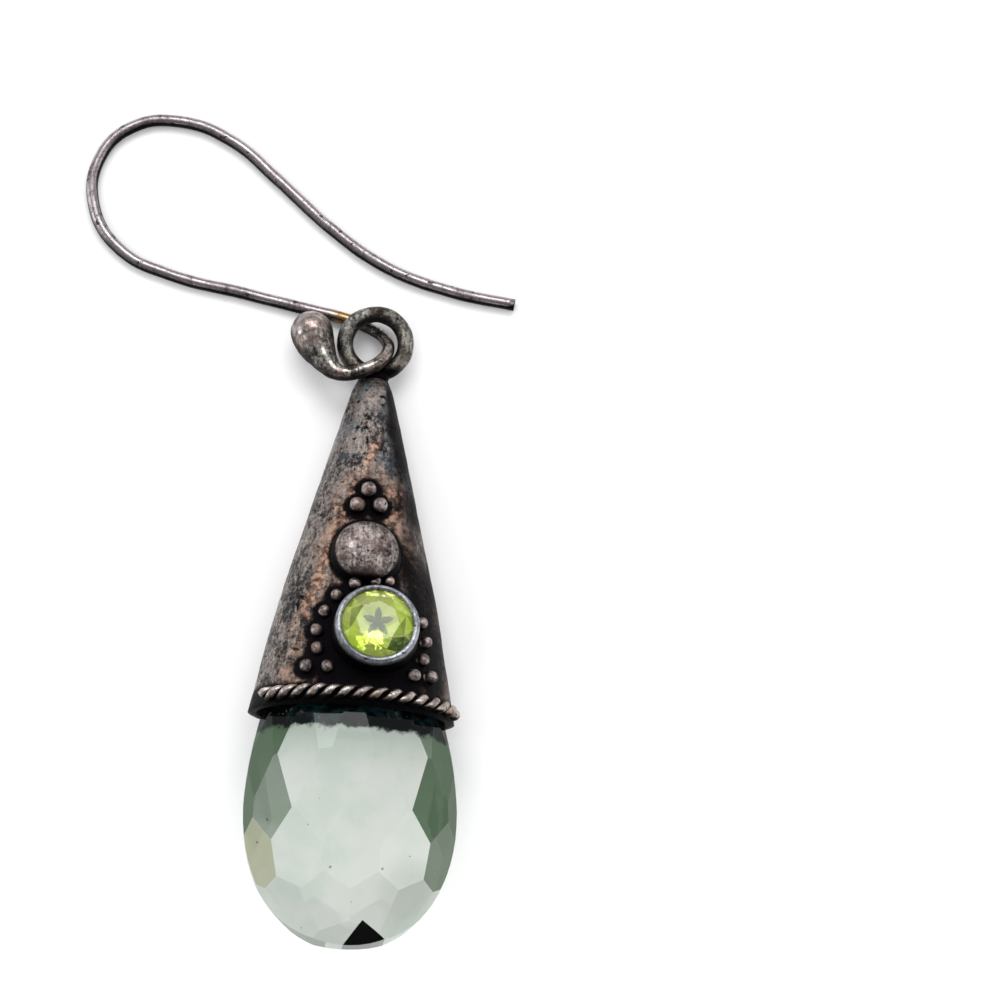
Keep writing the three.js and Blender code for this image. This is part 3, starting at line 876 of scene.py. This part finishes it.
def quartz_shade(tree, place):
    """Milky green, darker towards the cone, with a painted dark band of shade where it meets the cone
    and a painted black reflection at the tip.
    """
    veil = spread(tree, cloud(tree, place, 0.28, 4.0, 0.55), 0.38, 0.64)
    shade = blend(tree, veil, (0.565, 0.625, 0.57, 1), (0.65, 0.68, 0.635, 1))
    axes = add_node(tree, "ShaderNodeSeparateXYZ", {"Vector": place}).outputs
    near_cone = maths(tree, "MULTIPLY", spread(tree, axes["Y"], -4.5, -0.8), 0.55)
    shade = blend(tree, near_cone, shade, (0.36, 0.44, 0.37, 1))
    smoke = add_node(tree, "ShaderNodeVectorMath", {
        0: place, 1: (4.1, -11.2, 2.0)}, operation="DISTANCE").outputs["Value"]
    smoke = maths(tree, "MULTIPLY", spread(tree, smoke, 2.6, 0.9), 0.35)
    shade = blend(tree, smoke, shade, (0.36, 0.38, 0.32, 1))
    green = blend(tree, mask(tree, "facet_olive"), (0.085, 0.135, 0.08, 1), (0.30, 0.28, 0.09, 1))
    shade = blend(tree, mask(tree, "facet_shade"), shade, green)
    specks = spread(tree, cloud(tree, place, 1.9, 1.0, 0.3), 0.785, 0.80)
    shade = blend(tree, maths(tree, "MULTIPLY", specks, 0.7), shade, (0.08, 0.09, 0.07, 1))
    # painted shade: the dark band where the stone meets the cone
    warped = maths(tree, "MULTIPLY_ADD", cloud(tree, place, 1.1, 5.0, 0.6), 1.3, axes["Y"])
    join_shade = spread(tree, warped, -0.85, -0.5)
    join_shade_tone = blend(tree, spread(tree, cloud(tree, place, 0.9, 5.0, 0.65), 0.47, 0.6),
                      (0.002, 0.003, 0.003, 1), (0.010, 0.028, 0.032, 1))
    fleck = spread(tree, cloud(tree, place, 2.0, 4.0, 0.6), 0.64, 0.70)
    join_shade_tone = blend(tree, fleck, join_shade_tone, (0.10, 0.085, 0.035, 1))
    shade = blend(tree, join_shade, shade, join_shade_tone)
    # the painted black reflection lies under two edges that meet at its peak
    under = []
    for slope in dark_reflection_slopes:
        reach = add_node(tree, "ShaderNodeVectorMath", {0: place, 1: slope},
                         operation="DOT_PRODUCT").outputs["Value"]
        edge = slope.dot(dark_reflection_peak)
        under.append(spread(tree, reach, edge + 0.04, edge - 0.04))
    dark_reflection = maths(tree, "MULTIPLY", *under)
    return blend(tree, dark_reflection, shade, (0.001, 0.001, 0.001, 1))


quartz_glass = clear_stone(
    "green_quartz", quartz_shade, 1.54, 0.03, (0.88, 0.91, 0.88), 0.68, 0.06
)
drop_stone = add_piece(
    "drop_stone_cut", cut_gem("drop_stone", 0.06, quartz_facet), Matrix.Identity(4),
    [quartz_glass], smooth=False,
)
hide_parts("drop_stone")


# ---- ear hook ----------------------------------------------------------------------------
# One length of round silver wire, bent into a wide hook with a flared tail and passed
# through the eye ring in a loop. Its end is melted into a pear-shaped ball.

wire_radius = 0.4
hook_route = [
    # x, y, z of the middle of the wire, and its radius
    (9.13, 29.05, 0, 0.4), (4.9, 29.75, 0, 0.4), (0.3, 31.3, 0, 0.4), (-3.65, 33.9, 0, 0.4),
    (-7.2, 36.95, 0, 0.4), (-10.7, 39.7, 0, 0.4), (-14.1, 40.85, 0, 0.4),
    (-17.4, 40.35, 0, 0.4), (-19.5, 38.0, 0, 0.4), (-19.6, 34.5, 0, 0.4),
    (-17.6, 31.6, 0, 0.4), (-14.2, 30.05, 0, 0.4), (-9.1, 28.98, 0, 0.4), (-5.4, 28.2, 0, 0.4),
    (-2.4, 27.6, 0, 0.4), (-1.2, 27.25, 0, 0.4), (-0.15, 26.75, 0.15, 0.4),
    (0.6, 26.05, 0.75, 0.4), (0.9, 25.15, 1.4, 0.41), (0.45, 24.2, 2.0, 0.43),
    (-0.5, 23.55, 2.25, 0.45), (-1.7, 23.2, 2.25, 0.49), (-2.55, 23.4, 2.12, 0.60),
    (-3.1, 23.95, 1.92, 0.80), (-3.5, 24.55, 1.72, 1.03), (-3.85, 25.15, 1.55, 1.25),
    (-4.1, 25.7, 1.45, 1.38), (-4.25, 26.1, 1.42, 1.42), (-4.4, 26.5, 1.42, 1.36),
    (-4.53, 26.85, 1.42, 1.19), (-4.64, 27.13, 1.42, 0.92), (-4.72, 27.34, 1.42, 0.60),
    (-4.76, 27.45, 1.42, 0.32), (-4.78, 27.5, 1.42, 0.04),
]
hook_place = Matrix.Translation((rim_middle.x, rim_middle.y, wire_radius * MM))
hook_place = hook_place @ Matrix.Scale(MM, 4)
shape = swept_wire("wire", [[((x, y, z), radius) for x, y, z, radius in hook_route]], sides=8)
roughen(shape, 0.02, 1.1, 2)


def hook_painted_shade(p, normal):
    """Painted shade by which way the surface faces: the wire is kept light along its top and beyond,
    and black on its near side and below.
    """
    faces_light = normal.dot(Vector((-0.15, 0.42, 0.90)))
    return 0.85 * fade(faces_light, 0.15, 0.85)


def hook_coordinates(tree):
    place = add_node(tree, "ShaderNodeTexCoord").outputs["Object"]
    return add_node(tree, "ShaderNodeMapping", {
        "Vector": place, "Location": hook_place.translation, "Scale": (MM, MM, MM),
    }, vector_type="TEXTURE").outputs["Vector"]


wire_silver, tree, surface, skin = silver(
    "hook_wire", hook_coordinates, (0.46, 0.41, 0.415), (0.12, 0.10, 0.105),
    (0.17, 0.13, 0.125), 0.3, 0.07, 0.45, 0.02, "soot_and_shade",
)
place = hook_coordinates(tree)
rust_spot = add_node(tree, "ShaderNodeVectorMath", {
    0: place, 1: (-2.0, 27.5, 0.3)}, operation="DISTANCE").outputs["Value"]
rust = maths(tree, "MULTIPLY", spread(tree, rust_spot, 1.5, 0.6), spread(
    tree, cloud(tree, place, 2.2), 0.36, 0.56))
ball = add_node(tree, "ShaderNodeGroup", {
    "Vector": place, "Highs": (0.74, 0.70, 0.62, 1), "Lows": (0.035, 0.033, 0.028, 1),
    "Stain": (0.50, 0.36, 0.33, 1), "Stain Share": 0.5, "Wear": 0.01, "Patches": 1.0,
}, node_tree=tarnish)
tree.links.new(maths(tree, "MULTIPLY", mask(tree, "soot_and_shade"), 0.75), ball.inputs["Soot And Shade"])
near_ball = spread(tree, add_node(tree, "ShaderNodeVectorMath", {
    0: place, 1: (-1.9, 25.0, 1.6)}, operation="DISTANCE").outputs["Value"], 3.9, 3.1)
tone = blend(tree, near_ball, surface.outputs["Colour"], ball.outputs["Colour"])
tree.links.new(blend(tree, rust, tone, (0.42, 0.24, 0.10, 1)), skin.inputs["Base Color"])
ear_hook = add_piece("ear_hook_wire", shape, hook_place, [wire_silver], hook_painted_shade)
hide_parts("ear_hook")
